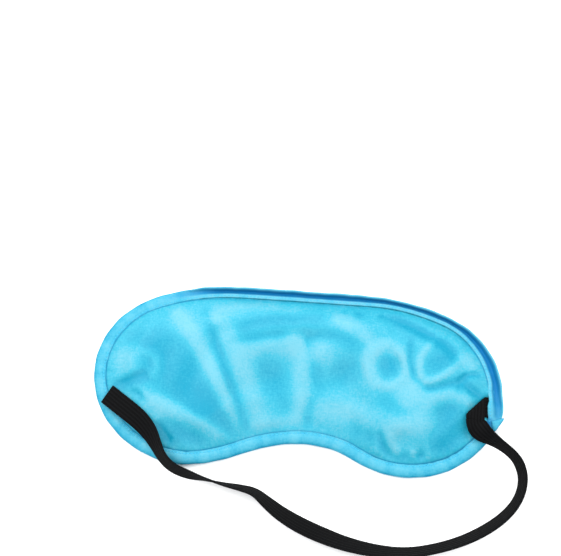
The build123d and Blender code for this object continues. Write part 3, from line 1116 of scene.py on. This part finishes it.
class Binding:
    """Shape of the folded tape round the rim."""

    def __init__(self, rim):
        self.rim = rim
        self.plain = np.array(PLAIN_SECTION) * MM
        self.curled = np.array(CURLED_SECTION) * MM
        self.curl_start = rim.round_at(*CURL_START)
        self.curl_end = rim.round_at(*CURL_END)
        self.wide_start = rim.round_at(*WIDE_START)
        self.strap_exit = rim.round_at(*STRAP_EXIT)

    def curl(self, around):
        """How much the tape stands up, from 0 to 1."""
        rising = between(self.rim, around, self.curl_start, self.curl_end, 0.040)
        ending = between(self.rim, around, self.curl_start - 0.1, self.curl_end, 0.006)
        return np.minimum(rising, ending)

    def section(self, around):
        """(inset, height) of each section point at each distance round."""
        curl = self.curl(around)[:, None, None]
        section = (1 - curl) * self.plain + curl * self.curled
        wide = between(self.rim, around, self.wide_start, self.curl_end, 0.008)[:, None]
        depth = section[..., 0].copy()
        section[..., 0] += WIDE_EXTRA * wide * smoothstep(0.001, 0.0045, depth)
        section[..., 0] -= self.rim.narrow(around)[:, None] * smoothstep(0.0008, 0.0030, depth)
        over_strap = np.exp(-((around - self.strap_exit - 0.0025) / 0.0042) ** 4)[:, None]
        section[..., 0] += EXIT_EXTRA * over_strap * smoothstep(0.0036, 0.0055, depth)
        section[..., 0] += self.rim.pull(around)[:, None]
        top = smoothstep(0.0014, 0.0030, section[..., 1])
        waves = ripple(self.rim, around, (0.0065, 0.0094, 0.0151), 11)[:, None]
        section[..., 1] += TOP_WAVE * waves * top
        sway = ripple(self.rim, around, (0.011, 0.023, 0.041), 12)[:, None]
        section[..., 0] += EDGE_SWAY * sway * smoothstep(0.004, 0.0, depth)
        raised = np.exp(-((around - self.strap_exit) / 0.0075) ** 4)[:, None]
        section[..., 1] += EXIT_RISE * raised * top * smoothstep(0.0025, 0.0050, depth)
        return section, depth

    def place(self, around, inset, height):
        """Points in space on the rim's own measure."""
        rim = self.rim
        index = np.searchsorted(rim.around, around % rim.length, side="right") - 1
        ahead = (around % rim.length) - rim.around[index]
        along = np.column_stack([-rim.inward[index, 1], rim.inward[index, 0]])
        xy = rim.xy[index] + ahead[:, None] * along + inset[:, None] * rim.inward[index]
        return np.column_stack([xy, height])

    def mesh(self, material):
        """The tape as a closed ring, sunk a little at each stitch."""
        rim = self.rim
        section, depth = self.section(rim.around)
        count, points = depth.shape
        back_side = section[..., 1] > TOP_HEIGHT
        outer_layer = np.arange(points) < INSIDE_POINT
        stitches = round(rim.length / STITCH_PITCH)
        holes = 0.5 + 0.5 * np.cos(math.tau * stitches * rim.around / rim.length)[:, None]
        dent = STITCH_DENT * holes * bell(depth - SEAM_INSET, 0.0006) * outer_layer
        section[..., 1] += dent * np.where(back_side, -1.0, 0.6)
        xy = rim.xy[:, None] + section[..., 0, None] * rim.inward[:, None]
        vertices = np.concatenate([xy, section[..., 1, None]], axis=2)
        binding = make_mesh("edge_binding_satin", vertices.reshape(-1, 3),
                            ring_faces(count, points, closed=True), material)
        across = np.tile(np.linspace(0, TAPE_CUT_WIDTH, points), count)
        set_uv(binding, np.column_stack([np.repeat(rim.around, points), across]))

        # Painted shade: dark in the groove, a painted shadow behind the flap, and painted shade inside
        # the fold
        curl = self.curl(rim.around)[:, None]
        painted_groove_shade = np.exp(-((depth - 0.0025) / 0.0017) ** 4) * curl * (section[..., 1] > TOP_HEIGHT)
        flap_away = np.hypot(vertices[..., 0] - FLAP_PAINTED_SHADOW[0], vertices[..., 1] - FLAP_PAINTED_SHADOW[1])
        painted_shade = np.maximum(painted_groove_shade, 0.9 * bell(flap_away, FLAP_PAINTED_SHADOW_RADIUS))
        painted_shade = np.maximum(painted_shade, 0.6 * ~outer_layer)
        set_painted_shade(binding, np.clip(painted_shade, 0, 1).ravel())

        # Painted highlights along the top of the tape, on its outer edge where it stands up, and on the
        # lip;
        # painted shade on its outer edge where it lies flat; and a random unevenness round the rim
        painted_light_and_shade = 0.3 * bell(depth - 0.0038, 0.0012)
        painted_light_and_shade += (1.9 * curl - 0.7) * bell(depth, 0.0009)
        painted_light_and_shade += 0.8 * curl * bell(depth - 0.0052, 0.0011)
        painted_light_and_shade += 0.4 * ripple(rim, rim.around, (0.0063, 0.0107, 0.0190), 23)[:, None]
        set_painted_light_and_shade(binding, np.clip(painted_light_and_shade, -1, 1).ravel())
        return binding


def stitch_shape():
    """One stitch lying along X: a short round bar with sunk ends, as vertices and faces."""
    rings = []
    for share in np.linspace(-1, 1, STITCH_RINGS):
        radius = THREAD_RADIUS * math.sqrt(max(0.08, 1 - share ** 6))
        sink = -0.9 * THREAD_RADIUS * share ** 4
        for corner in range(STITCH_SIDES):
            angle = math.tau * corner / STITCH_SIDES
            rings.append((share * STITCH_LENGTH / 2, radius * math.cos(angle),
                          radius * math.sin(angle) + sink))
    return np.array(rings), tube_faces(STITCH_RINGS, STITCH_SIDES)


def seam(name, binding, material, side):
    """Row of stitches round the tape: side 1 on the back face, -1 on the front face."""
    rim = binding.rim
    count = round(rim.length / STITCH_PITCH)
    shape, shape_faces = stitch_shape()
    around = (np.arange(count) + 0.5) * rim.length / count
    section = binding.section(around)[0]
    inset, height = section[:, BACK_SEAM_POINT if side > 0 else FRONT_SEAM_POINT].T
    height = height + side * STITCH_LIFT * THREAD_RADIUS
    here = binding.place(around, inset, height)
    ahead = binding.place(around + 0.0004, inset, height)
    vertices, faces = [], []
    rng = np.random.default_rng(17)
    for place, following in zip(here, ahead):
        along = (following - place) / np.linalg.norm(following - place)
        skew = rng.normal(0, STITCH_SKEW)
        along = np.array([along[0] - skew * along[1], along[1] + skew * along[0], along[2]])
        along /= np.linalg.norm(along)
        up = np.array([0, 0, float(side)])
        across = np.cross(up, along)
        across /= np.linalg.norm(across)
        up = np.cross(along, across)
        base = len(vertices)
        for x, y, z in shape:
            vertices.append(place + x * along + y * across + z * up)
        faces += [tuple(base + index for index in face) for face in shape_faces]
    return make_mesh(name, vertices, faces, material)


def tape_end_flap(material):
    """The tape's end, folded over itself into a pointed corner, as a thin raised patch."""
    outline = np.array(FLAP_OUTLINE) * MM
    edges = [(index, (index + 1) % len(outline)) for index in range(len(outline))]
    low, high = outline.min(axis=0), outline.max(axis=0)
    grid = [(x, y) for x in np.arange(low[0], high[0], FLAP_GRID)
            for y in np.arange(low[1], high[1], FLAP_GRID)]
    points = [tuple(point) for point in outline]
    for start, end in edges:
        run = outline[end] - outline[start]
        count = max(2, round(np.hypot(*run) / FLAP_GRID))
        points += [tuple(outline[start] + run * step / count) for step in range(1, count)]
    xy, faces = triangulated(points + grid, edges)
    away = np.full(len(xy), 1.0)
    for start, end in edges:
        run = outline[end] - outline[start]
        share = np.clip(((xy - outline[start]) @ run) / (run @ run), 0, 1)
        away = np.minimum(away, np.hypot(*(xy - outline[start] - share[:, None] * run).T))
    swell = FLAP_THICKNESS * (0.35 + 0.65 * smoothstep(0, 0.0007, away))
    slope = FLAP_BASE + FLAP_TILT * smoothstep(*FLAP_SLOPE, xy[:, 0])
    creases = FLAP_CREASE * np.sin((xy[:, 0] - xy[:, 1]) / FLAP_CREASE_PITCH)
    top = np.column_stack([xy, slope + swell + creases * smoothstep(0.0004, 0.002, away)])
    bottom = np.column_stack([xy, slope - FLAP_UNDER])
    flap = thick_sheet("binding_end_flap_satin", top, bottom, faces, material)
    set_uv(flap, np.vstack([xy, xy]))
    # Painted shade, darker towards the flap's edges
    set_painted_shade(flap, np.tile(0.5 * (1 - smoothstep(0, 0.0005, away)), 2))
    return flap


# ---- the mask

make_camera()
elastic = elastic_material()
line = strap_line()
centre = line[0]
split = int(np.linalg.norm(centre - np.array(STRAP_ROUTE[0][:3]), axis=1).argmin())
strap = strap_band("elastic_strap_band", line, slice(split, None), elastic)
left_end = strap_band("strap_end_left_band", line, slice(0, split + 1), elastic)
right_end = rolled_end("strap_end_right_band", elastic)

make_studio()

rim = Rim(BINDING_STEP)
tape_satin = satin("binding_satin", TAPE_PAINTED_LIGHT_COLOURS, TAPE_GLOSS)
thread = fibre_material("seam_thread", THREAD_COLOURS, (0.5, 0.00004), 0.45, Scale=1500.0, Detail=2.0)
wadding = fibre_material("white_wadding", WADDING_COLOURS, (0.9, 0.0006), 1.0, Scale=260.0, Detail=6.0,
                         Roughness=0.75)

back = back_panel(rim, line, satin("back_satin", PANEL_PAINTED_LIGHT_COLOURS, PANEL_GLOSS))
front = front_panel(rim, satin("front_satin", PANEL_PAINTED_LIGHT_COLOURS, PANEL_GLOSS))
binding = Binding(rim)
tape = binding.mesh(tape_satin)
flap = tape_end_flap(tape_satin)
seam_back = seam("seam_thread_back_stitches", binding, thread, 1)
seam_front = seam("seam_thread_front_stitches", binding, thread, -1)
core = padding_core(rim, back, wadding)

for piece, node, slot in (
    (back, "back_panel", "satin_back"),
    (front, "front_panel", "satin_front"),
    (core, "padding_core", "wadding"),
    (tape, "edge_binding", "satin_binding"),
    (flap, "binding_end_flap", "satin_binding"),
    (seam_back, "seam_thread_back", "thread"),
    (seam_front, "seam_thread_front", "thread"),
    (left_end, "strap_end_left", "elastic"),
    (right_end, "strap_end_right", "elastic"),
):
    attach(piece, "mask")
    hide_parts(node)

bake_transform(strap)
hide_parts("elastic_strap")
